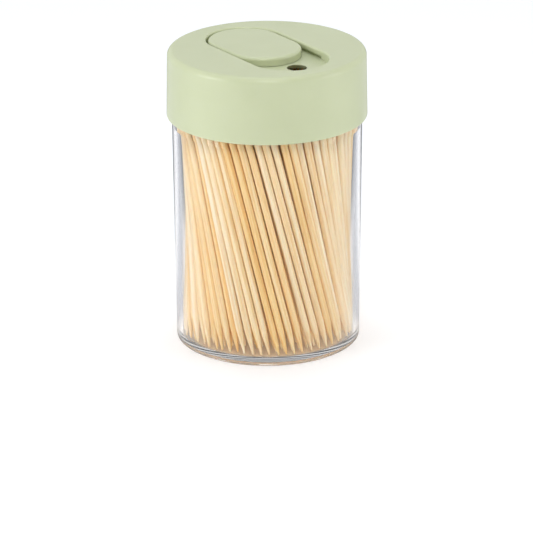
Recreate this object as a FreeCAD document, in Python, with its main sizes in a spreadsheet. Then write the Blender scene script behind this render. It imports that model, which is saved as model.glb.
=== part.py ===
import FreeCAD, Part

import math
import os
import random

import Sketcher

# Toothpick dispenser: a clear moulded jar full of toothpicks, closed by a push-on plastic lid. The lid's top
# has a long recess with a hole at one end, and a shutter that slides along the recess to open or close it.
# The origin is the centre of the jar's foot, with +Z up. The hole is on the front half, which is -Y.
# Lengths are millimetres and angles are degrees.

# Driving dimensions. Each row is the name, its value, and what it is.
SIZES = [
    ("total_height", 77.0, "Jar foot to lid top"),
    ("jar_radius", 24.15, "Outside of the jar at its neck, which is upright"),
    ("jar_draft", 0.48, "How much narrower the jar is at its foot"),
    ("jar_wall", 1.25, "Jar wall"),
    ("neck_wall", 1.5, "Jar wall at the neck"),
    ("neck_show", 1.34, "How far the neck shows below the lid's skirt"),
    ("taper_show", 2.44, "How far below the skirt the wall begins to thicken, on the inside"),
    ("taper_height", 1.4, "Height over which it thickens to the neck's wall"),
    ("foot_height", 0.5, "Depth of the hollow under the jar's floor"),
    ("foot_width", 2.4, "Width of the ring that the jar stands on"),
    ("floor_thick", 1.6, "Jar floor"),
    ("foot_round", 0.5, "Rounding of the foot's outer edge"),
    ("corner_round", 0.5, "Rounding between the floor and the wall, inside"),
    ("rim_round", 0.25, "Rounding of the jar's rim"),
    ("lid_skirt_height", 17.16, "Lid top to the bottom of its skirt"),
    ("lid_skirt_wall", 1.23, "Skirt wall at its lower edge"),
    ("lid_draft", 0.36, "How much narrower the lid is at its top"),
    ("lid_top_round", 1.5, "Rounding of the lid's upper edge"),
    ("lid_top_thick", 1.8, "Lid top plate, which rests on the jar's rim"),
    ("lid_skirt_round", 0.35, "Rounding of the skirt's lower edge"),
    ("skirt_clearance", 0.12, "Radial gap between the jar's neck and the skirt"),
    ("plug_clearance", 0.1, "Radial gap between the jar's mouth and the plug ring"),
    ("plug_wall", 1.4, "Plug ring wall"),
    ("plug_length", 3.4, "How far the plug ring reaches into the jar"),
    ("recess_turn", -56.4, "Direction of the recess, from +X"),
    ("recess_half_width", 10.0, "Half the recess's width, and the radius of its ends"),
    ("recess_end_centre", 9.9, "Lid axis to the centre of a rounded end"),
    ("recess_depth", 2.3, "Depth of the recess"),
    ("recess_floor_thick", 1.2, "Floor of the recess"),
    ("recess_wall", 1.4, "Wall round the recess, below the top plate"),
    ("recess_edge_round", 0.55, "Rounding of the recess's upper edge"),
    ("groove_reach", 0.85, "Depth of the guide groove in each long side"),
    ("hole_radius", 2.5, "Dispensing hole at its upper face"),
    ("hole_funnel", 0.9, "How much wider the hole is at its lower face"),
    ("hole_along", 11.7, "Lid axis to the hole, along the recess"),
    ("hole_across", 1.2, "Recess centre line to the hole"),
    ("shutter_gap", 0.5, "Gap between the shutter and the recess's sides"),
    ("shutter_travel", 11.2, "Travel of the shutter from open to closed"),
    ("shutter_lift", 0.1, "Running gap under the shutter"),
    ("shutter_round", 0.8, "Rounding of the shutter's upper edge"),
    ("rail_thick", 0.8, "Thickness of the shutter's side rails"),
    ("rail_half_length", 4.0, "Half the length of a side rail"),
    ("rail_clearance", 0.1, "Running gap round a side rail"),
    ("pick_length", 65.0, "Toothpick"),
    ("pick_radius", 0.9, "Toothpick"),
    ("pick_taper", 7.0, "Length of each pointed end"),
    ("pick_tip_radius", 0.2, "Blunt end of each point"),
    ("pick_gap", 0.06, "Least gap between neighbouring toothpicks"),
    ("bundle_lean", 15.0, "Lean of the outermost toothpicks round the jar's axis"),
    ("wall_gap", 0.12, "Least gap between the toothpicks and the jar"),
]
# How unevenly the toothpicks lie: lean in degrees, inset from the layer in front, height of the lower point.
LEAN_SPREAD = 2.0
INSET_SPREAD = 0.3
HEIGHT_SPREAD = 0.4
# A layer begins this share of a toothpick's width inside the last one, and each toothpick goes in from there
# by small steps until it lies in the furrow between two others.
NESTING = 0.84
INSET_STEP = 0.1
INSETS_TRIED = 7
LEANS_TRIED = 3
BEARING_STEPS = 30
# Each number gives another bundle, and always the same one.
BUNDLE_NUMBER = 11
# The outer layers are an object each, and all the inner ones together are one more.
OUTER_LAYERS = 5


class Size:
    """A size with its value now and the expression that keeps it bound to the sheet."""

    def __init__(self, value, text):
        self.value = value
        self.text = text

    @staticmethod
    def of(other):
        return other if isinstance(other, Size) else Size(other, repr(other))

    def __add__(self, other):
        other = Size.of(other)
        return Size(self.value + other.value, f"({self.text} + {other.text})")

    def __sub__(self, other):
        other = Size.of(other)
        return Size(self.value - other.value, f"({self.text} - {other.text})")

    def __mul__(self, other):
        other = Size.of(other)
        return Size(self.value * other.value, f"({self.text} * {other.text})")

    def __truediv__(self, other):
        other = Size.of(other)
        return Size(self.value / other.value, f"({self.text} / {other.text})")

    def __neg__(self):
        return Size(-self.value, f"(-{self.text})")

    def cos(self):
        return Size(math.cos(math.radians(self.value)), f"cos({self.text})")

    def sin(self):
        return Size(math.sin(math.radians(self.value)), f"sin({self.text})")


doc = FreeCAD.newDocument("ToothpickDispenser")
sheet = doc.addObject("Spreadsheet::Sheet", "Sizes")
size = {}
for row, (alias, value, meaning) in enumerate(SIZES, start=1):
    sheet.set(f"A{row}", meaning)
    sheet.set(f"B{row}", str(value))
    sheet.setAlias(f"B{row}", alias)
    size[alias] = Size(value, f"Sizes.{alias}")
doc.recompute()
ZERO = Size(0.0, "0")


# Sketches and features

def new_body(label):
    body = doc.addObject("PartDesign::Body", label)
    body.Label = label
    return body


def new_sketch(body, name, role, height=None, turn=None):
    """A sketch on one of the body's own planes, raised along the plane's normal and turned about it."""
    sketch = body.newObject("Sketcher::SketchObject", name)
    plane = next(f for f in body.Origin.OriginFeatures if f.Role == role)
    sketch.AttachmentSupport = [(plane, "")]
    sketch.MapMode = "FlatFace"
    angle = turn.value if turn else 0
    lift = height.value if height else 0
    sketch.AttachmentOffset = FreeCAD.Placement(
        FreeCAD.Vector(0, 0, lift), FreeCAD.Rotation(FreeCAD.Vector(0, 0, 1), angle)
    )
    if height:
        sketch.setExpression("AttachmentOffset.Base.z", height.text)
    if turn:
        sketch.setExpression("AttachmentOffset.Rotation.Angle", turn.text)
    return sketch


def bind(sketch, constraint, name, value):
    index = sketch.addConstraint(constraint)
    sketch.renameConstraint(index, name)
    sketch.setExpression(f"Constraints.{name}", value.text)


def pin_point(sketch, geometry, point, name, x, y):
    """Holds a point of the sketch at x, y. On an axis it is held by the axis itself."""
    if x is ZERO:
        sketch.addConstraint(Sketcher.Constraint("PointOnObject", geometry, point, -2))
    else:
        bind(sketch, Sketcher.Constraint("DistanceX", -1, 1, geometry, point, x.value), f"{name}_x", x)
    if y is ZERO:
        sketch.addConstraint(Sketcher.Constraint("PointOnObject", geometry, point, -1))
    else:
        bind(sketch, Sketcher.Constraint("DistanceY", -1, 1, geometry, point, y.value), f"{name}_y", y)


def outline(sketch, corners):
    """A closed outline of straight sides through the corners, each a pair of sizes."""
    points = [FreeCAD.Vector(x.value, y.value, 0) for x, y in corners]
    count = len(points)
    first = sketch.GeometryCount
    for i in range(count):
        sketch.addGeometry(Part.LineSegment(points[i], points[(i + 1) % count]), False)
    for i in range(count):
        following = first + (i + 1) % count
        sketch.addConstraint(Sketcher.Constraint("Coincident", first + i, 2, following, 1))
        pin_point(sketch, first + i, 1, f"corner{first + i}", *corners[i])


def stadium(sketch, end_centre, radius):
    """A long slot outline on the sketch's X axis, with round ends centred at plus and minus end_centre."""
    c, r = end_centre.value, radius.value
    up, half = FreeCAD.Vector(0, 0, 1), math.pi / 2
    right = Part.ArcOfCircle(Part.Circle(FreeCAD.Vector(c, 0, 0), up, r), -half, half)
    left = Part.ArcOfCircle(Part.Circle(FreeCAD.Vector(-c, 0, 0), up, r), half, 3 * half)
    top = Part.LineSegment(FreeCAD.Vector(c, r, 0), FreeCAD.Vector(-c, r, 0))
    bottom = Part.LineSegment(FreeCAD.Vector(-c, -r, 0), FreeCAD.Vector(c, -r, 0))
    sketch.addGeometry([right, top, left, bottom], False)
    for side in range(4):
        sketch.addConstraint(Sketcher.Constraint("Tangent", side, 2, (side + 1) % 4, 1))
    pin_point(sketch, 0, 3, "right_centre", end_centre, ZERO)
    pin_point(sketch, 2, 3, "left_centre", -end_centre, ZERO)
    bind(sketch, Sketcher.Constraint("Radius", 0, r), "end_radius", radius)


def revolve(body, name, sketch):
    feature = body.newObject("PartDesign::Revolution", name)
    feature.Profile = sketch
    feature.ReferenceAxis = (sketch, ["V_Axis"])
    feature.Angle = 360
    doc.recompute()
    return feature


def pad(body, name, sketch, length):
    feature = body.newObject("PartDesign::Pad", name)
    feature.Profile = sketch
    feature.Length = length.value
    feature.setExpression("Length", length.text)
    doc.recompute()
    return feature


def pocket(body, name, sketch, depth):
    """Cuts down from the sketch, and checks that it removed material."""
    before = body.Shape.Volume
    feature = body.newObject("PartDesign::Pocket", name)
    feature.Profile = sketch
    feature.Length = depth.value
    feature.setExpression("Length", depth.text)
    doc.recompute()
    if not feature.Shape.Volume < before - 0.1:
        raise RuntimeError(f"{name} cut nothing")
    return feature


def round_edges(body, name, radius, wanted):
    """Rounds the edges of the body's last feature for which wanted(edge) is true."""
    base = body.Tip
    names = [f"Edge{i}" for i, edge in enumerate(base.Shape.Edges, start=1) if wanted(edge)]
    if not names:
        raise RuntimeError(f"{name} found no edge")
    feature = body.newObject("PartDesign::Fillet", name)
    feature.Base = (base, names)
    feature.Radius = radius.value
    feature.setExpression("Radius", radius.text)
    doc.recompute()
    return feature


def is_ring(edge, radius, height):
    """True for a circle about the Z axis of that radius at that height."""
    curve = edge.Curve
    if not isinstance(curve, Part.Circle):
        return False
    near_axis = math.hypot(curve.Center.x, curve.Center.y) < 1e-4
    return near_axis and abs(curve.Radius - radius) < 1e-4 and abs(curve.Center.z - height) < 1e-4


def at_height(edge, height):
    box = edge.BoundBox
    return abs(box.ZMin - height) < 1e-5 and abs(box.ZMax - height) < 1e-5


def widest(edge):
    """The largest distance of the edge from the Z axis, on sampled points."""
    return max(math.hypot(p.x, p.y) for p in edge.discretize(9))


# Sizes that several pieces share
rim_height = size["total_height"] - size["lid_top_thick"]
floor_height = size["foot_height"] + size["floor_thick"]
skirt_bottom = size["total_height"] - size["lid_skirt_height"]
neck_bottom = skirt_bottom - size["neck_show"]
taper_bottom = skirt_bottom - size["taper_show"]
jar_foot_radius = size["jar_radius"] - size["jar_draft"]
jar_floor_radius = jar_foot_radius - size["jar_wall"]
jar_mouth_radius = size["jar_radius"] - size["neck_wall"]
skirt_inner = size["jar_radius"] + size["skirt_clearance"]
lid_bottom_radius = skirt_inner + size["lid_skirt_wall"]
lid_top_radius = lid_bottom_radius - size["lid_draft"]
plug_outer = jar_mouth_radius - size["plug_clearance"]
plug_inner = plug_outer - size["plug_wall"]
recess_floor = size["total_height"] - size["recess_depth"]
tub_bottom = recess_floor - size["recess_floor_thick"]
turn = size["recess_turn"]
hole_x = size["hole_along"] * turn.cos() - size["hole_across"] * turn.sin()
hole_y = size["hole_along"] * turn.sin() + size["hole_across"] * turn.cos()


def build_jar():
    """One clear moulding: foot ring, floor, drafted wall, and an upright neck with a thicker wall."""
    body = new_body("jar")
    foot_inner = jar_foot_radius - size["foot_width"]
    profile = new_sketch(body, "JarProfile", "XZ_Plane")
    outline(profile, [
        (ZERO, size["foot_height"]),
        (foot_inner, size["foot_height"]),
        (foot_inner, ZERO),
        (jar_foot_radius, ZERO),
        (size["jar_radius"], neck_bottom),
        (size["jar_radius"], rim_height),
        (jar_mouth_radius, rim_height),
        (jar_mouth_radius, taper_bottom + size["taper_height"]),
        (size["jar_radius"] - size["jar_wall"], taper_bottom),
        (jar_floor_radius, floor_height),
        (ZERO, floor_height),
    ])
    revolve(body, "JarRevolution", profile)
    round_edges(body, "FootRound", size["foot_round"],
                lambda e: is_ring(e, jar_foot_radius.value, 0))
    round_edges(body, "FloorRound", size["corner_round"],
                lambda e: is_ring(e, jar_floor_radius.value, floor_height.value))
    round_edges(body, "RimRound", size["rim_round"],
                lambda e: is_ring(e, size["jar_radius"].value, rim_height.value)
                or is_ring(e, jar_mouth_radius.value, rim_height.value))
    return body


def build_lid():
    """One coloured moulding: skirt, top plate, plug ring, and a tub with the recess, grooves and hole."""
    body = new_body("lid")
    top = size["total_height"]
    plug_bottom = rim_height - size["plug_length"]
    profile = new_sketch(body, "LidProfile", "XZ_Plane")
    outline(profile, [
        (skirt_inner, skirt_bottom),
        (lid_bottom_radius, skirt_bottom),
        (lid_top_radius, top),
        (ZERO, top),
        (ZERO, rim_height),
        (plug_inner, rim_height),
        (plug_inner, plug_bottom),
        (plug_outer, plug_bottom),
        (plug_outer, rim_height),
        (skirt_inner, rim_height),
    ])
    revolve(body, "LidRevolution", profile)
    round_edges(body, "TopRound", size["lid_top_round"],
                lambda e: is_ring(e, lid_top_radius.value, top.value))
    round_edges(body, "SkirtRound", size["lid_skirt_round"],
                lambda e: is_ring(e, lid_bottom_radius.value, skirt_bottom.value)
                or is_ring(e, skirt_inner.value, skirt_bottom.value))

    tub = new_sketch(body, "TubOutline", "XY_Plane", tub_bottom, turn)
    tub_half_width = size["recess_half_width"] + size["groove_reach"] + size["recess_wall"]
    tub_end = size["recess_end_centre"] + size["recess_half_width"] + size["recess_wall"]
    stadium(tub, tub_end - tub_half_width, tub_half_width)
    pad(body, "Tub", tub, rim_height - tub_bottom + size["lid_top_thick"] / 4)

    recess = new_sketch(body, "RecessOutline", "XY_Plane", top, turn)
    stadium(recess, size["recess_end_centre"], size["recess_half_width"])
    pocket(body, "Recess", recess, size["recess_depth"])
    round_edges(body, "RecessRound", size["recess_edge_round"],
                lambda e: at_height(e, top.value)
                and widest(e) < lid_top_radius.value - size["lid_top_round"].value - 0.1)

    groove_height = size["rail_thick"] + size["shutter_lift"] + size["rail_clearance"]
    groove_half_width = size["recess_half_width"] + size["groove_reach"]
    groove_half_length = size["shutter_travel"] / 2 + size["rail_half_length"] + size["rail_clearance"]
    grooves = new_sketch(body, "GrooveOutline", "XY_Plane", recess_floor + groove_height, turn)
    outline(grooves, [
        (-groove_half_length, -groove_half_width),
        (groove_half_length, -groove_half_width),
        (groove_half_length, groove_half_width),
        (-groove_half_length, groove_half_width),
    ])
    pocket(body, "GuideGrooves", grooves, groove_height)

    build_dispensing_hole(body)
    return body


def build_dispensing_hole(body):
    """A round hole through the recess's floor, wider below so that tipped toothpicks find it."""
    before = body.Shape.Volume
    hole = body.newObject("PartDesign::SubtractiveCone", "DispensingHole")
    plane = next(f for f in body.Origin.OriginFeatures if f.Role == "XY_Plane")
    hole.AttachmentSupport = [(plane, "")]
    hole.MapMode = "FlatFace"
    hole.AttachmentOffset = FreeCAD.Placement(
        FreeCAD.Vector(hole_x.value, hole_y.value, tub_bottom.value), FreeCAD.Rotation()
    )
    for axis, place in zip("xyz", (hole_x, hole_y, tub_bottom)):
        hole.setExpression(f"AttachmentOffset.Base.{axis}", place.text)
    lower_radius = size["hole_radius"] + size["hole_funnel"]
    for name, value in (("Radius1", lower_radius), ("Radius2", size["hole_radius"]),
                        ("Height", size["recess_floor_thick"])):
        setattr(hole, name, value.value)
        hole.setExpression(name, value.text)
    doc.recompute()
    if not body.Shape.Volume < before - 1:
        raise RuntimeError("the dispensing hole cut nothing")


def build_shutter():
    """One coloured moulding: a rounded plate that slides in the recess, with a rail on each long side."""
    body = new_body("shutter")
    half_width = size["recess_half_width"] - size["shutter_gap"]
    open_place = -(size["shutter_travel"] / 2)
    half_length = size["recess_end_centre"] + size["recess_half_width"] - size["shutter_gap"]
    end_centre = half_length + open_place - half_width
    thick = size["recess_depth"] - size["shutter_lift"]
    plate = new_sketch(body, "PlateOutline", "XY_Plane")
    stadium(plate, end_centre, half_width)
    pad(body, "Plate", plate, thick)
    round_edges(body, "PlateRound", size["shutter_round"], lambda e: at_height(e, thick.value))
    rail_half_width = size["recess_half_width"] + size["groove_reach"] - size["rail_clearance"]
    rails = new_sketch(body, "RailOutline", "XY_Plane")
    outline(rails, [
        (-size["rail_half_length"], -rail_half_width),
        (size["rail_half_length"], -rail_half_width),
        (size["rail_half_length"], rail_half_width),
        (-size["rail_half_length"], rail_half_width),
    ])
    pad(body, "Rails", rails, size["rail_thick"])
    place = (open_place * turn.cos(), open_place * turn.sin(), recess_floor + size["shutter_lift"])
    body.Placement = FreeCAD.Placement(
        FreeCAD.Vector(*[p.value for p in place]), FreeCAD.Rotation(FreeCAD.Vector(0, 0, 1), turn.value)
    )
    for axis, value in zip("xyz", place):
        body.setExpression(f"Placement.Base.{axis}", value.text)
    body.setExpression("Placement.Rotation.Angle", turn.text)
    return body


# Toothpicks

def pick_outline():
    """Half of a toothpick's length section: a straight middle, and a long taper to each blunt point."""
    length, taper = size["pick_length"].value, size["pick_taper"].value
    radius, tip = size["pick_radius"].value, size["pick_tip_radius"].value
    return [(0, 0), (tip, 0), (radius, taper), (radius, length - taper), (tip, length), (0, length)]


def along(start, end):
    """The placement that stands a toothpick's foot on start and points it at end."""
    return FreeCAD.Placement(start, FreeCAD.Rotation(FreeCAD.Vector(0, 0, 1), end - start))


def nearest(one, other):
    """Least distance between two toothpicks' middle lines, each given as its foot and head points."""
    a, b, gap = one[1] - one[0], other[1] - other[0], one[0] - other[0]
    aa, bb, ab = a.dot(a), b.dot(b), a.dot(b)
    ag, bg = a.dot(gap), b.dot(gap)
    spare = aa * bb - ab * ab
    s = min(1, max(0, (ab * bg - bb * ag) / spare)) if spare > 1e-9 else 0
    t = (ab * s + bg) / bb
    if t < 0 or t > 1:
        t = min(1, max(0, t))
        s = min(1, max(0, (ab * t - ag) / aa))
    return (gap + a * s - b * t).Length


def leaning_pick(radius, bearing, lean, height):
    """Foot and head of a toothpick with its middle at that radius and bearing, which leans round the axis."""
    outward = FreeCAD.Vector(math.cos(bearing), math.sin(bearing), 0)
    forward = FreeCAD.Vector(-math.sin(bearing), math.cos(bearing), 0)
    rise = FreeCAD.Vector(0, 0, math.cos(lean)) - forward * math.sin(lean)
    half = rise * (size["pick_length"].value / 2)
    middle = outward * radius + FreeCAD.Vector(0, 0, height + half.z)
    return middle - half, middle + half


def middle_reach(lean):
    """How far from the axis a toothpick's middle can lie, if it leans by that angle and clears the jar."""
    half = size["pick_length"].value / 2
    straight = half - size["pick_taper"].value
    at_wall = jar_floor_radius.value - size["wall_gap"].value - size["pick_radius"].value
    narrowest = min(jar_floor_radius.value, jar_mouth_radius.value)
    at_ends = narrowest - size["wall_gap"].value - size["pick_tip_radius"].value
    by_wall = at_wall ** 2 - (straight * math.sin(lean)) ** 2
    by_ends = at_ends ** 2 - (half * math.sin(lean)) ** 2
    return math.sqrt(min(by_wall, by_ends))


def fill_layer(radius, lean, height, placed, chance):
    """As many toothpicks side by side in one layer as clear each other and those already placed."""
    least = 2 * size["pick_radius"].value + size["pick_gap"].value
    step = least / radius / BEARING_STEPS
    first = chance.uniform(0, 2 * math.pi)
    bearing = first
    layer = []
    while bearing < first + 2 * math.pi:
        pick = pick_that_fits(radius, bearing, lean, height, placed + layer, least, chance)
        if pick:
            layer.append(pick)
            bearing += least / radius
        else:
            bearing += step
    return layer


def pick_that_fits(radius, bearing, lean, height, placed, least, chance):
    """A toothpick at that bearing that clears those already placed, or None. It lies as far out as it can."""
    foot_height = height + chance.uniform(0, HEIGHT_SPREAD)
    inset = chance.uniform(0, INSET_SPREAD)
    tilts = [math.radians(chance.uniform(-LEAN_SPREAD, LEAN_SPREAD)) for _ in range(LEANS_TRIED)]
    for deeper in range(INSETS_TRIED):
        for tilt in tilts:
            further_out = middle_reach(lean + tilt) - middle_reach(lean)
            place = radius + further_out - inset - deeper * INSET_STEP
            pick = leaning_pick(place, bearing, lean + tilt, foot_height)
            if all(nearest(pick, other) > least for other in reversed(placed)):
                return pick
    return None


def stacked_layers():
    """The toothpicks in the jar, layer by layer from the wall inward, as lists of foot and head points.

    All lean the same way round and less towards the axis, as a handful does that settles in a round jar.
    So each layer is narrowest at half height, and the outermost one nearly touches the wall where its
    points begin.
    """
    chance = random.Random(BUNDLE_NUMBER)
    least = 2 * size["pick_radius"].value + size["pick_gap"].value
    lean_outer = math.radians(size["bundle_lean"].value)
    outermost = middle_reach(lean_outer)
    most_lean = lean_outer + math.radians(LEAN_SPREAD)
    foot_radius = math.hypot(middle_reach(most_lean), size["pick_length"].value / 2 * math.sin(most_lean))
    corner = size["corner_round"].value
    foot_reach = foot_radius + size["pick_tip_radius"].value
    into_corner = min(corner, max(0, foot_reach - (jar_floor_radius.value - corner)))
    corner_lift = corner - math.sqrt(corner ** 2 - into_corner ** 2)
    height = floor_height.value + size["wall_gap"].value + corner_lift
    layers = []
    placed = []
    radius = outermost
    while radius > least / 2 + INSET_SPREAD:
        lean = math.atan(math.tan(lean_outer) * radius / outermost)
        layer = fill_layer(radius, lean, height, placed, chance)
        layers.append(layer)
        placed += layer
        radius -= least * NESTING
    return layers


def build_pick_group(label, picks):
    """Many separate toothpicks as one object. Each is one turned solid."""
    points = [FreeCAD.Vector(x, 0, z) for x, z in pick_outline()]
    section = Part.Face(Part.makePolygon(points + points[:1]))
    pick = section.revolve(FreeCAD.Vector(0, 0, 0), FreeCAD.Vector(0, 0, 1), 360)
    solids = []
    for foot, head in picks:
        solid = pick.copy()
        solid.Placement = along(foot, head)
        solids.append(solid)
    group = doc.addObject("Part::Feature", label)
    group.Label = label
    group.Shape = Part.makeCompound(solids)
    group.Placement = FreeCAD.Placement()
    return group


def build_picks():
    """An object for each outer layer, and one for the core."""
    layers = stacked_layers()
    print("toothpicks in each layer:", [len(layer) for layer in layers])
    groups = [
        build_pick_group(f"toothpicks_layer_{number}", layer)
        for number, layer in enumerate(layers[:OUTER_LAYERS], start=1)
    ]
    core = [pick for layer in layers[OUTER_LAYERS:] for pick in layer]
    groups.append(build_pick_group("toothpicks_core", core))
    return groups


def write_steps(pieces):
    doc.recompute()
    failed = [o.Label for o in doc.Objects if "Invalid" in o.State or "Error" in o.State]
    if failed:
        raise RuntimeError(f"these objects failed: {failed}")
    for piece in pieces:
        if piece.Shape.isNull() or not piece.Shape.isValid():
            raise RuntimeError(f"{piece.Label} has no valid shape")
    os.makedirs("parts", exist_ok=True)
    for piece in pieces:
        piece.Shape.exportStep(os.path.join("parts", f"{piece.Label}.step"))
        box = piece.Shape.BoundBox
        print(f"{piece.Label}: {len(piece.Shape.Solids)} solids, {piece.Shape.Volume:.1f} mm3,"
              f" z {box.ZMin:.2f} to {box.ZMax:.2f}")


write_steps([build_jar(), build_lid(), build_shutter(), *build_picks()])
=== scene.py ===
"""A toothpick dispenser: a clear jar of toothpicks under a sage green lid with a sliding shutter.

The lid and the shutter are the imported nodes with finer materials. The jar is turned here as a smooth
clear moulding, and each toothpick is a stick of its own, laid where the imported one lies.
Lengths are metres and angles are degrees, apart from the lens and sensor, which are millimetres.
"""

import math
import random

import bpy
import numpy as np
from mathutils import Matrix, Vector


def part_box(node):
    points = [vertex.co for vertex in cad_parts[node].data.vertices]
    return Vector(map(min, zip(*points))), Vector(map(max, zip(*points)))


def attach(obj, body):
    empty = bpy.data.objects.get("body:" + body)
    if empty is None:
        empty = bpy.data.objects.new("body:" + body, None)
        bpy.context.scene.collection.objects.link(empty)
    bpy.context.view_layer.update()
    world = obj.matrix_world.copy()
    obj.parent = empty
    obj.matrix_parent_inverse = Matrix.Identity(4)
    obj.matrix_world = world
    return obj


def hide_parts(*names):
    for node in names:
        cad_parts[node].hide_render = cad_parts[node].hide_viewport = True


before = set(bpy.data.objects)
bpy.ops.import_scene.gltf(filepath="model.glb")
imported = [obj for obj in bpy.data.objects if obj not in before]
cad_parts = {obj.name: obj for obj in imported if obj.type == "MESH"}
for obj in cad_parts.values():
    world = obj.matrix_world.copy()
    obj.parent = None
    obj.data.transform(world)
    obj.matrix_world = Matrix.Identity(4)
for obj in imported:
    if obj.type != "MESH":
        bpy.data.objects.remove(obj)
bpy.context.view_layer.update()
MM = 0.001

# The photograph's camera. It looks at the object's front and a little down on it.
CAMERA_DISTANCE = 806.27 * MM
CAMERA_ELEVATION = 21.38
CAMERA_ROLL = -0.289
CAMERA_LENS = 206.92
CAMERA_SENSOR = 36.0
CAMERA_NEAR = 0.01
CAMERA_FAR = 20
CAMERA_TARGET = Vector((-0.351, 0, 16.759)) * MM

# The jar's section
JAR_WALL = 1.25 * MM
NECK_WALL = 1.5 * MM
JAR_DRAFT = 0.48 * MM
NECK_BOTTOM = 58.5 * MM
TAPER_BOTTOM = 57.4 * MM
TAPER_HEIGHT = 1.4 * MM
FOOT_HEIGHT = 0.5 * MM
FOOT_WIDTH = 2.4 * MM
FLOOR_THICK = 1.6 * MM
EDGE_ROUND = 0.25 * MM
FOOT_ROUND = 0.2 * MM
CORNER_ROUND = 0.5 * MM
ARC_STEPS = 6
JAR_SIDES = 256

# A toothpick's section
PICK_RADIUS = 0.9 * MM
PICK_TIP_RADIUS = 0.2 * MM
PICK_TAPER = 7.0 * MM
PICK_SIDES = 20
BLUNT_RADIUS = 0.55 * PICK_TIP_RADIUS
BLUNT_LENGTH = 0.06 * MM
TAPER_RINGS = 9
TAPER_CURVE = 0.35
TAPER_POWER = 0.9
MIDDLE_RINGS = (0.25, 0.36, 0.5, 0.64, 0.75)
THINNEST_SHARE = 0.97

# What differs from toothpick to toothpick, and how wide and long the wood's fibres are
TONE_MIDDLE = 0.5
TONE_SPREAD = 0.27
GRAIN_REACH = 500
GRAIN_WIDTH = 0.18 * MM
GRAIN_LENGTH = 9 * MM
CHANCE_SEED = 5

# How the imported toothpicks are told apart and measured
WELD = 0.001 * MM
END_DEPTH = 0.02 * MM
END_ROUNDS = 3

# An edge that turns by more than this stays sharp.
JAR_EDGE = 60
PICK_EDGE = 50
MOULDING_EDGE = 28

# Sage plastic. The scales of noise are in features to a metre.
SAGE_TONES = [(0.3, (0.512, 0.554, 0.354)), (0.7, (0.532, 0.574, 0.372))]
SAGE_TONE_SCALE = 90
SAGE_SMEAR_SCALE = 260
SAGE_GRAIN_SCALE = 5200
SAGE_GRAIN_DEPTH = 0.02 * MM
SAGE_GLOW_REACH = 1.5 * MM

# Clear plastic
CLEAR_COLOUR = (0.94, 0.94, 0.945)
CLEAR_MIRROR = (0.15, 0.15, 0.15)
CLEAR_SMEAR_SCALE = 70
CLEAR_LIGHT_SHARE = 0.95

# Wood. The toothpicks at both ends of the range of tones are the ripest.
WOOD_TONES = [
    (0.0, (0.93, 0.64, 0.27)),
    (0.35, (0.96, 0.75, 0.43)),
    (0.75, (0.98, 0.85, 0.62)),
    (1.0, (0.92, 0.61, 0.24)),
]
WOOD_FIBRES = [(0.3, (0.86, 0.76, 0.62)), (0.5, (1, 1, 1))]
WOOD_STREAKS = [(0.38, (0.90, 0.78, 0.60)), (0.56, (1, 1, 1))]
WOOD_FIBRE_SCALE = 1.0
WOOD_STREAK_SCALE = 0.32
WOOD_FIBRE_SHARE = 0.7
WOOD_STREAK_SHARE = 0.8
WOOD_FIBRE_DEPTH = 0.03 * MM
WOOD_GLOW_REACH = 0.7 * MM

# The floor as it is seen straight
FLOOR_REACH = 4.0
FLOOR_DROP = 0.02 * MM
FLOOR_WHITE = (0.9, 0.915, 0.935)

# The floor as clear plastic mirrors or refracts it, painted with bands of shade and light that stand in for a
# studio's dark and bright sides.
# These painted bands go by bearing, from 0 behind the jar to 1 in front of it.
PAINTED_DARK = (0.14, 0.15, 0.16)
PAINTED_PALE = (0.88, 0.88, 0.89)
PAINTED_GREY = (0.57, 0.58, 0.61)
PAINTED_WHITE = (0.90, 0.90, 0.90)
PAINTED_WARM = (0.52, 0.50, 0.47)
PAINTED_REFLECTION_BANDS = [
    (0.12, PAINTED_DARK),
    (0.16, PAINTED_PALE),
    (0.20, PAINTED_PALE),
    (0.26, PAINTED_GREY),
    (0.40, PAINTED_GREY),
    (0.50, PAINTED_WHITE),
    (0.70, PAINTED_WHITE),
    (0.90, PAINTED_WARM),
]

# Below the jar, these painted shades take the place of the painted bands: a brown painted shade under the
# toothpicks, and a darker painted shadow under the foot ring.
# Each begins at one distance from the axis and is full at another.
PAINTED_SHADE_UNDER_JAR = (0.88, 0.74, 0.54)
JAR_SHADE_BEGINS = 24.6 * MM
JAR_SHADE_FULL = 23.6 * MM
PAINTED_SHADOW_UNDER_FOOT = (0.42, 0.39, 0.34)
FOOT_SHADE_BEGINS = 20 * MM
FOOT_SHADE_FULL = 21.5 * MM

# The studio. Its walls go from dark to bright, by how far a direction points away from the camera's side.
SKY_DARK = 0.22
SKY_BRIGHT = 0.72
SKY_DARK_END = -0.95
SKY_BRIGHT_END = 0.1
LAMP_TARGET = (0, 0, 0.04)

# Each lamp's name, place, size, watts and colour
LAMPS = [
    ("key", (-0.8, -0.35, 0.25), (0.4, 0.4), 3.0, (0.95, 0.95, 1)),
    ("fill", (0.85, -0.15, 0.2), (0.3, 0.4), 1.7, (1, 1, 1)),
    ("front", (0, -0.7, 0.72), (0.35, 0.35), 3.5, (1, 1, 1)),
    ("top", (0, 0.22, 0.85), (0.6, 0.25), 1.35, (0.85, 0.9, 1)),
]


# Meshes

def new_object(name, vertices, faces, smooth=True):
    mesh = bpy.data.meshes.new(name)
    mesh.from_pydata([tuple(v) for v in vertices], [], faces)
    mesh.validate()
    mesh.polygons.foreach_set("use_smooth", [smooth] * len(mesh.polygons))
    thing = bpy.data.objects.new(name, mesh)
    bpy.context.scene.collection.objects.link(thing)
    return thing


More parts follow.
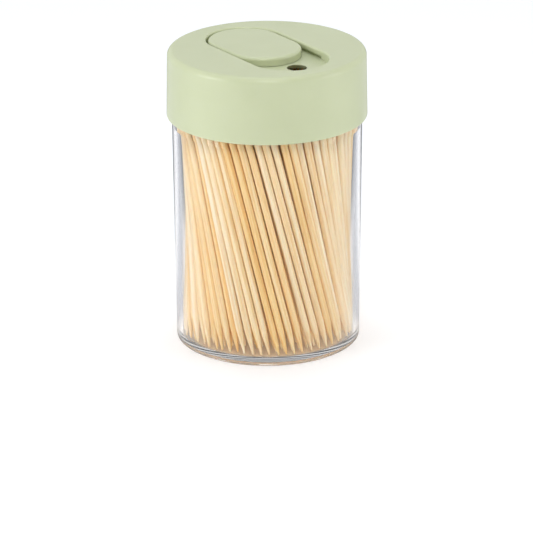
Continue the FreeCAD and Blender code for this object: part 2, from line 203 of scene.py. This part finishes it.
def rounded(corners):
    """An outline of (radius, height, rounding) corners as points, with each rounded corner as an arc."""
    points = []
    for i, (x, z, rounding) in enumerate(corners):
        here = Vector((x, z))
        if not rounding:
            points.append(here)
            continue
        before = (Vector(corners[i - 1][:2]) - here).normalized()
        after = (Vector(corners[(i + 1) % len(corners)][:2]) - here).normalized()
        half = before.angle(after) / 2
        reach = rounding / math.tan(half)
        centre = here + (before + after).normalized() * (rounding / math.sin(half))
        start = here + before * reach - centre
        end = here + after * reach - centre
        sweep = start.angle_signed(end)
        for k in range(ARC_STEPS + 1):
            turned = Matrix.Rotation(-sweep * k / ARC_STEPS, 2) @ start
            points.append(centre + turned)
    return points


def circle(radius, sides):
    """The (x, y) points of a circle round the axis."""
    for k in range(sides):
        a = 2 * math.pi * k / sides
        yield radius * math.cos(a), radius * math.sin(a)


def side_faces(rings, sides):
    """The faces that join rings of points, when the rings' points come one ring after another."""
    faces = []
    for r in range(rings - 1):
        a, b = r * sides, (r + 1) * sides
        for k in range(sides):
            n = (k + 1) % sides
            faces.append((a + k, a + n, b + n, b + k))
    return faces


def turned_mesh(name, points, sides):
    """Turns an open outline, which starts and ends on the axis, into a closed mesh."""
    rings = [p for p in points if p.x > 0]
    vertices = [(x, y, p.y) for p in rings for x, y in circle(p.x, sides)]
    faces = side_faces(len(rings), sides)
    for ring, point in ((0, points[0]), (len(rings) - 1, points[-1])):
        middle = len(vertices)
        vertices.append((0, 0, point.y))
        for k in range(sides):
            n = (k + 1) % sides
            near, far = ring * sides + k, ring * sides + n
            faces.append((middle, far, near) if ring == 0 else (middle, near, far))
    return new_object(name, vertices, faces)


def sharpen(thing, degrees):
    """Marks edges that turn by more than that as sharp, so that the rest shade as one smooth surface."""
    thing.data.polygons.foreach_set("use_smooth", [True] * len(thing.data.polygons))
    thing.data.set_sharp_from_angle(angle=math.radians(degrees))


# Materials

class Tree:
    """A node tree with short calls for making and joining nodes."""

    def __init__(self, tree):
        self.tree = tree

    def feed(self, source, socket):
        """Joins an output to the socket, or sets the socket to a value or an opaque colour."""
        if isinstance(source, bpy.types.NodeSocket):
            self.tree.links.new(source, socket)
        elif socket.type == "RGBA":
            socket.default_value = (*source, 1)
        else:
            socket.default_value = source

    def node(self, kind, inputs=None, **settings):
        made = self.tree.nodes.new(kind)
        for key, value in settings.items():
            setattr(made, key, value)
        for key, source in (inputs or {}).items():
            self.feed(source, made.inputs[key])
        return made

    def sums(self, operation, *values, **settings):
        inputs = dict(enumerate(values))
        return self.node("ShaderNodeMath", inputs, operation=operation, **settings).outputs[0]

    def spread(self, value, low, high, start=0.0, end=1.0, **settings):
        """Maps start to end onto low to high."""
        inputs = {"Value": value, "From Min": start, "From Max": end, "To Min": low, "To Max": high}
        return self.node("ShaderNodeMapRange", inputs, **settings).outputs["Result"]


class Look(Tree):
    """A material with its shader."""

    def __init__(self, name):
        self.material = bpy.data.materials.new(name)
        self.material.use_nodes = True
        super().__init__(self.material.node_tree)
        self.shader = self.tree.nodes["Principled BSDF"]
        self.surface = self.tree.nodes["Material Output"].inputs["Surface"]

    def shade(self, **inputs):
        """Feeds the shader's inputs, whose names have underscores for spaces."""
        for key, source in inputs.items():
            self.feed(source, self.shader.inputs[key.replace("_", " ")])

    def place(self):
        return self.node("ShaderNodeTexCoord").outputs["Object"]

    def noise(self, vector, scale, detail=2.0, roughness=0.5):
        inputs = {"Vector": vector, "Scale": scale, "Detail": detail, "Roughness": roughness}
        return self.node("ShaderNodeTexNoise", inputs).outputs["Fac"]

    def ramp(self, factor, stops):
        made = self.node("ShaderNodeValToRGB", {"Fac": factor})
        elements = made.color_ramp.elements
        while len(elements) < len(stops):
            elements.new(0.5)
        for element, (place, colour) in zip(elements, stops):
            element.position = place
            element.color = (*colour, 1)
        return made.outputs["Color"]

    def blend(self, kind, factor, one, two):
        inputs = {"Factor": factor, 6: one, 7: two}
        return self.node("ShaderNodeMix", inputs, data_type="RGBA", blend_type=kind).outputs[2]

    def bump(self, height, distance, strength):
        inputs = {"Height": height, "Distance": distance, "Strength": strength}
        return self.node("ShaderNodeBump", inputs).outputs["Normal"]

    def let_light_through(self, share):
        """Lets lamps and soft light reach what is behind the surface.

        Refraction alone would keep that dark.
        """
        ray = self.node("ShaderNodeLightPath").outputs
        soft = self.sums("MAXIMUM", ray["Is Shadow Ray"], ray["Is Diffuse Ray"])
        clear = self.node("ShaderNodeBsdfTransparent", {"Color": (share, share, share)})
        both = self.node("ShaderNodeMixShader", {0: soft, 1: self.shader.outputs[0], 2: clear.outputs[0]})
        self.feed(both.outputs[0], self.surface)


def green_plastic():
    """Soft matte moulded plastic, with the fine even grain that such moulds are given."""
    look = Look("sage_plastic")
    where = look.place()
    tone = look.noise(where, SAGE_TONE_SCALE, detail=3)
    grain = look.noise(where, SAGE_GRAIN_SCALE, roughness=0.6)
    smear = look.noise(where, SAGE_SMEAR_SCALE, detail=3)
    look.shade(Base_Color=look.ramp(tone, SAGE_TONES), Roughness=look.spread(smear, 0.28, 0.38), IOR=1.49)
    look.shade(Normal=look.bump(grain, SAGE_GRAIN_DEPTH, strength=0.35))
    look.shade(Subsurface_Weight=0.3, Subsurface_Radius=(1.0, 1.0, 0.7), Subsurface_Scale=SAGE_GLOW_REACH)
    return look.material


def clear_plastic():
    """Polished clear plastic."""
    look = Look("clear_plastic")
    smear = look.noise(look.place(), CLEAR_SMEAR_SCALE, detail=4, roughness=0.6)
    look.shade(Base_Color=CLEAR_COLOUR, Roughness=look.spread(smear, 0.0, 0.012), IOR=1.5)
    look.shade(Transmission_Weight=1.0, Specular_Tint=CLEAR_MIRROR)
    look.let_light_through(CLEAR_LIGHT_SHARE)
    return look.material


def toothpick_wood():
    """Pale, straight-grained wood. Each toothpick has its own tone and its own stretch of grain."""
    look = Look("toothpick_wood")
    grain_place = look.node("ShaderNodeAttribute", attribute_name="grain_place").outputs["Vector"]
    tone = look.node("ShaderNodeAttribute", attribute_name="tone").outputs["Fac"]
    fibres = look.noise(grain_place, WOOD_FIBRE_SCALE, detail=3, roughness=0.6)
    streaks = look.noise(grain_place, WOOD_STREAK_SCALE)
    colour = look.ramp(tone, WOOD_TONES)
    colour = look.blend("MULTIPLY", WOOD_FIBRE_SHARE, colour, look.ramp(fibres, WOOD_FIBRES))
    colour = look.blend("MULTIPLY", WOOD_STREAK_SHARE, colour, look.ramp(streaks, WOOD_STREAKS))
    look.shade(Base_Color=colour, Roughness=look.spread(fibres, 0.36, 0.5), IOR=1.5, Specular_IOR_Level=0.25)
    look.shade(Normal=look.bump(fibres, WOOD_FIBRE_DEPTH, strength=0.5))
    look.shade(Subsurface_Weight=0.2, Subsurface_Radius=(1.0, 0.6, 0.3), Subsurface_Scale=WOOD_GLOW_REACH)
    return look.material


def floor_white():
    """A white floor. Mirrored or through clear plastic it is painted grey and dark in places, a painted
    reflection of a studio's dark and bright sides, with painted shade and shadow below the jar.
    """
    look = Look("floor_white")
    ray = look.node("ShaderNodeLightPath").outputs
    turned = look.sums("GREATER_THAN", ray["Ray Depth"], 0.5)
    turned_view = look.sums("SUBTRACT", turned, ray["Is Diffuse Ray"], use_clamp=True)
    place = look.place()
    parts = look.node("ShaderNodeSeparateXYZ", {"Vector": place}).outputs
    bearing = look.sums("ARCTAN2", look.sums("ABSOLUTE", parts["X"]), parts["Y"])
    # Painted reflection: bands of shade and light by bearing, standing in for a studio's dark and bright
    # sides.
    painted_bands = look.ramp(look.sums("DIVIDE", bearing, math.pi), PAINTED_REFLECTION_BANDS)
    spot = look.node("ShaderNodeVectorMath", {0: place}, operation="LENGTH").outputs["Value"]
    # Painted shade under the jar and painted shadow under its foot ring, seen through the clear floor.
    under = look.spread(spot, 0.0, 1.0, start=JAR_SHADE_BEGINS, end=JAR_SHADE_FULL)
    foot = look.spread(spot, 0.0, 1.0, start=FOOT_SHADE_BEGINS, end=FOOT_SHADE_FULL)
    shade = look.blend("MIX", foot, PAINTED_SHADE_UNDER_JAR, PAINTED_SHADOW_UNDER_FOOT)
    seen = look.blend("MIX", under, painted_bands, shade)
    tint = look.blend("MIX", turned_view, FLOOR_WHITE, seen)
    look.shade(Base_Color=tint, Emission_Color=tint, Emission_Strength=0.15)
    look.shade(Roughness=0.9, Specular_IOR_Level=0.1)
    return look.material


# The moulded pieces

def build_jar(material):
    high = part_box("jar")[1]
    radius, top = high.x, high.z
    foot = radius - JAR_DRAFT
    floor_top = FOOT_HEIGHT + FLOOR_THICK
    corners = [
        (0, FOOT_HEIGHT, 0),
        (foot - FOOT_WIDTH, FOOT_HEIGHT, EDGE_ROUND),
        (foot - FOOT_WIDTH, 0, FOOT_ROUND),
        (foot, 0, CORNER_ROUND),
        (radius, NECK_BOTTOM, 0),
        (radius, top, EDGE_ROUND),
        (radius - NECK_WALL, top, EDGE_ROUND),
        (radius - NECK_WALL, TAPER_BOTTOM + TAPER_HEIGHT, CORNER_ROUND),
        (radius - JAR_WALL, TAPER_BOTTOM, CORNER_ROUND),
        (foot - JAR_WALL, floor_top, CORNER_ROUND),
        (0, floor_top, 0),
    ]
    jar = turned_mesh("jar_clear", rounded(corners), JAR_SIDES)
    sharpen(jar, JAR_EDGE)
    jar.data.materials.append(material)
    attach(jar, "jar")
    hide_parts("jar")


def dress_nodes(material, *names):
    for name in names:
        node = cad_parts[name]
        node.data.materials.clear()
        node.data.materials.append(material)
        sharpen(node, MOULDING_EDGE)


# Toothpicks

def islands(mesh):
    """The separate solids of a mesh, each as an array of its points."""
    count = len(mesh.vertices)
    points = np.empty(count * 3)
    mesh.vertices.foreach_get("co", points)
    points = points.reshape(-1, 3)
    _, same = np.unique(np.round(points / WELD).astype(np.int64), axis=0, return_inverse=True)
    same = same.reshape(-1)
    group = np.arange(same.max() + 1)
    edges = np.empty(len(mesh.edges) * 2, dtype=np.int64)
    mesh.edges.foreach_get("vertices", edges)
    edges = same[edges.reshape(-1, 2)]
    while True:
        least = np.minimum(group[edges[:, 0]], group[edges[:, 1]])
        new = group.copy()
        np.minimum.at(new, edges[:, 0], least)
        np.minimum.at(new, edges[:, 1], least)
        new = new[new]
        if (new == group).all():
            break
        group = new
    group_of = group[same]
    return [points[group_of == g] for g in np.unique(group_of)]


def ends(points):
    """The middles of a toothpick's two blunt ends, the lower first."""
    foot, head = points[points[:, 2].argmin()], points[points[:, 2].argmax()]
    for _ in range(END_ROUNDS):
        way = (head - foot) / np.linalg.norm(head - foot)
        far = points @ way
        foot = points[far < far.min() + END_DEPTH].mean(0)
        head = points[far > far.max() - END_DEPTH].mean(0)
    return Vector(foot), Vector(head)


def pick_sections(length, chance):
    """(distance along, radius) of a toothpick's rings. Its long tapers curve gently into the middle."""
    taper = []
    for k in range(1, TAPER_RINGS + 1):
        u = k / TAPER_RINGS
        grown = math.sin(u * math.pi / 2) ** TAPER_POWER * TAPER_CURVE + u * (1 - TAPER_CURVE)
        taper.append((PICK_TAPER * u, PICK_TIP_RADIUS + (PICK_RADIUS - PICK_TIP_RADIUS) * min(1, grown)))
    middle = [(length * share, PICK_RADIUS * chance.uniform(THINNEST_SHARE, 1.0)) for share in MIDDLE_RINGS]
    foot = [(0, BLUNT_RADIUS), (BLUNT_LENGTH, PICK_TIP_RADIUS)] + taper
    head = [(length - along, radius) for along, radius in reversed(foot)]
    return foot + middle + head


def stick(foot, head, chance):
    """A toothpick's points, their places in the grain, and its faces by the order of its points."""
    axis = head - foot
    turn = axis.to_track_quat("Z", "Y").to_matrix()
    start_of_grain = Vector([chance.uniform(0, GRAIN_REACH) for _ in range(3)])
    sections = pick_sections(axis.length, chance)
    points, places = [], []
    for along, radius in sections:
        for x, y in circle(radius, PICK_SIDES):
            points.append(foot + turn @ Vector((x, y, along)))
            places.append(start_of_grain + Vector((x / GRAIN_WIDTH, y / GRAIN_WIDTH, along / GRAIN_LENGTH)))
    last = (len(sections) - 1) * PICK_SIDES
    faces = side_faces(len(sections), PICK_SIDES)
    faces.append(tuple(reversed(range(PICK_SIDES))))
    faces.append(tuple(range(last, last + PICK_SIDES)))
    return points, places, faces


def build_layer(number, node, material, chance):
    vertices, faces, places, tones = [], [], [], []
    for solid in islands(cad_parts[node].data):
        foot, head = ends(solid)
        tone = min(1, max(0, chance.gauss(TONE_MIDDLE, TONE_SPREAD)))
        new_points, new_places, new_faces = stick(foot, head, chance)
        first = len(vertices)
        vertices += new_points
        places += new_places
        tones += [tone] * len(new_points)
        faces += [tuple(first + point for point in face) for face in new_faces]
    layer = new_object(f"toothpicks_{number:02d}", vertices, faces)
    grain_place = layer.data.attributes.new("grain_place", "FLOAT_VECTOR", "POINT")
    grain_place.data.foreach_set("vector", np.array(places, dtype=np.float32).ravel())
    tone_of_point = layer.data.attributes.new("tone", "FLOAT", "POINT")
    tone_of_point.data.foreach_set("value", np.array(tones, dtype=np.float32))
    sharpen(layer, PICK_EDGE)
    layer.data.materials.append(material)
    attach(layer, "jar")
    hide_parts(node)


# Room, light and camera

def build_floor():
    square = ((-1, -1), (1, -1), (1, 1), (-1, 1))
    corners = [(x * FLOOR_REACH, y * FLOOR_REACH, -FLOOR_DROP) for x, y in square]
    floor = new_object("floor", corners, [(0, 1, 2, 3)], smooth=False)
    floor.data.materials.append(floor_white())


def area_light(name, place, size, power, colour):
    data = bpy.data.lights.new(name, "AREA")
    data.shape = "RECTANGLE"
    data.size, data.size_y = size
    data.energy = power
    data.color = colour
    light = bpy.data.objects.new(name, data)
    light.location = place
    light.rotation_euler = (Vector(LAMP_TARGET) - Vector(place)).to_track_quat("-Z", "Y").to_euler()
    bpy.context.scene.collection.objects.link(light)


def build_light():
    """A white studio that is darker on the camera's side, with soft lamps left, right, in front and above."""
    world = bpy.data.worlds.new("studio")
    world.use_nodes = True
    tree = Tree(world.node_tree)
    way = tree.node("ShaderNodeTexCoord").outputs["Generated"]
    to_back = tree.node("ShaderNodeSeparateXYZ", {"Vector": way}).outputs["Y"]
    strength = tree.spread(
        to_back, SKY_DARK, SKY_BRIGHT, start=SKY_DARK_END, end=SKY_BRIGHT_END, interpolation_type="SMOOTHSTEP"
    )
    walls = world.node_tree.nodes["Background"]
    tree.feed((1, 1, 1), walls.inputs["Color"])
    tree.feed(strength, walls.inputs["Strength"])
    bpy.context.scene.world = world
    for lamp in LAMPS:
        area_light(*lamp)


def build_camera():
    data = bpy.data.cameras.new("camera")
    data.lens = CAMERA_LENS
    data.sensor_width = CAMERA_SENSOR
    data.clip_start, data.clip_end = CAMERA_NEAR, CAMERA_FAR
    camera = bpy.data.objects.new("camera", data)
    rise = math.radians(CAMERA_ELEVATION)
    back = Vector((0, -math.cos(rise), math.sin(rise)))
    camera.location = CAMERA_TARGET + back * CAMERA_DISTANCE
    look = (-back).to_track_quat("-Z", "Y").to_matrix()
    camera.rotation_euler = (look @ Matrix.Rotation(math.radians(CAMERA_ROLL), 3, "Z")).to_euler()
    bpy.context.scene.collection.objects.link(camera)
    bpy.context.scene.camera = camera


build_camera()
build_light()
build_floor()
dress_nodes(green_plastic(), "lid", "shutter")
build_jar(clear_plastic())
chance = random.Random(CHANCE_SEED)
wood = toothpick_wood()
for number, node in enumerate(sorted(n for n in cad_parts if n.startswith("toothpicks")), start=1):
    build_layer(number, node, wood, chance)

scene = bpy.context.scene
scene.view_settings.view_transform = "Standard"
# Light runs far inside the clear wall and floor, so it gets many turns there before it is dropped.
scene.cycles.max_bounces = 40
scene.cycles.transmission_bounces = 40
scene.cycles.glossy_bounces = 40
scene.cycles.diffuse_bounces = 12
scene.cycles.transparent_max_bounces = 24
